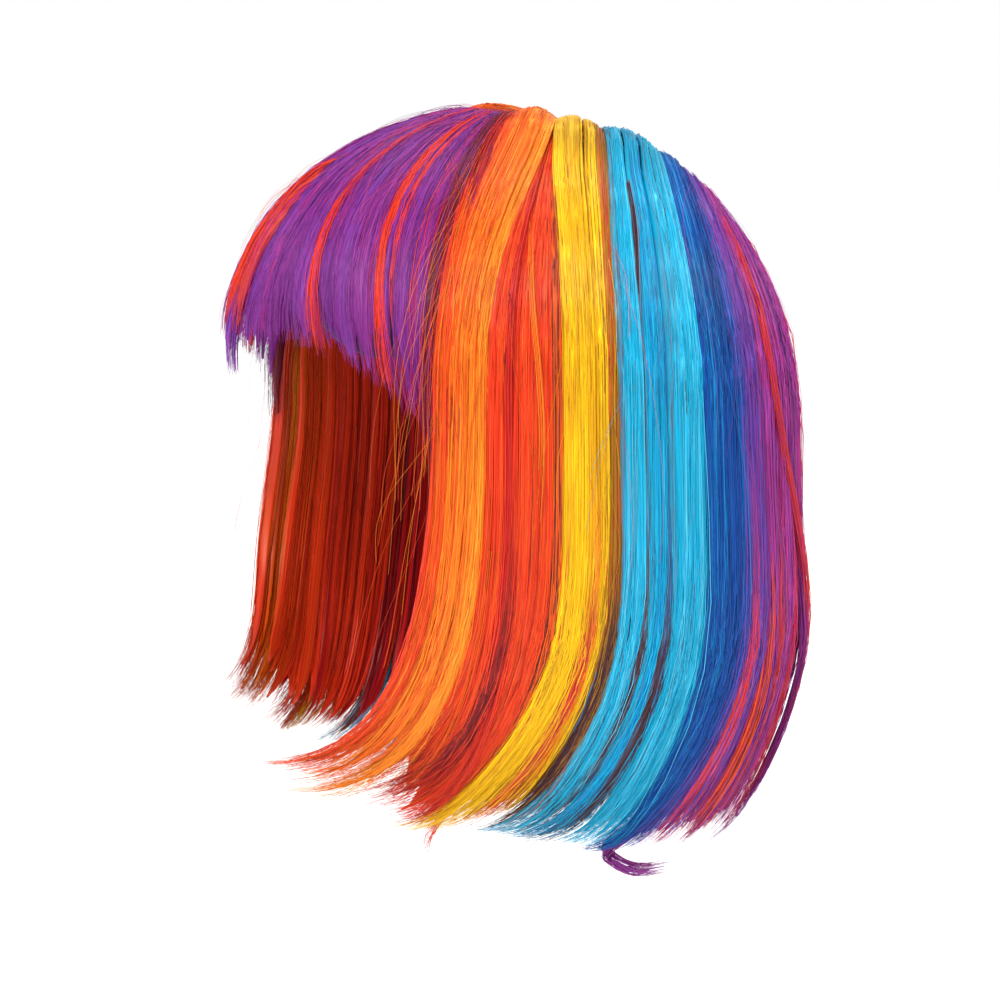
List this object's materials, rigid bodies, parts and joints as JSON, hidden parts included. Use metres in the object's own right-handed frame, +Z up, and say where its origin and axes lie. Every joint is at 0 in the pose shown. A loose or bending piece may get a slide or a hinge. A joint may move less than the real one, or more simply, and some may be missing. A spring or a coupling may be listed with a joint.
{
  "type": "cosplay wig",
  "caption": "Bobbed rainbow wig: an open cap carrying a purple fringe and long side and back hair in coloured sections, with tips turned under; worn on a head.",
  "frame": {"origin": "underside of the cap at the crown, where the top of the head touches it", "axes": "+Z up out of the crown, -Y the way the face looks, +X the wearer's left"},
  "size_m": [0.1815, 0.2469, 0.2966],
  "materials": {
    "hair_purple": "smooth synthetic fibre, soft sheen",
    "hair_red": "smooth synthetic fibre, soft sheen",
    "hair_wine": "smooth synthetic fibre, soft sheen",
    "hair_orange": "smooth synthetic fibre, soft sheen",
    "hair_yellow": "smooth synthetic fibre, soft sheen",
    "hair_cyan": "smooth synthetic fibre, soft sheen",
    "hair_blue": "smooth synthetic fibre, soft sheen",
    "hair_violet": "smooth synthetic fibre, soft sheen",
    "hair_ember": "smooth synthetic fibre, soft sheen",
    "cap_cloth": "matt dark knitted cap cloth"
  },
  "bodies": {
    "root": {"cap": "cap_cloth", "right_temple_wine": "hair_wine", "fringe_purple_far_right": "hair_purple", "fringe_red_far_right": "hair_red", "fringe_purple_right": "hair_purple", "fringe_red_right": "hair_red", "fringe_purple_middle": "hair_purple", "fringe_red_left": "hair_red", "fringe_purple_left": "hair_purple", "fringe_red_far_left": "hair_red", "fringe_purple_far_left": "hair_purple", "left_temple_wine": "hair_wine", "left_orange": "hair_orange", "left_red": "hair_red", "left_yellow": "hair_yellow", "left_cyan": "hair_cyan", "left_blue": "hair_blue", "left_violet": "hair_violet", "left_back_purple": "hair_purple", "left_under_red": "hair_red", "left_under_ember": "hair_ember", "right_orange": "hair_orange", "right_red": "hair_red", "right_yellow": "hair_yellow", "right_cyan": "hair_cyan", "right_blue": "hair_blue", "right_violet": "hair_violet", "right_back_purple": "hair_purple", "right_under_red": "hair_red", "right_under_ember": "hair_ember"}
  },
  "joints": []
}
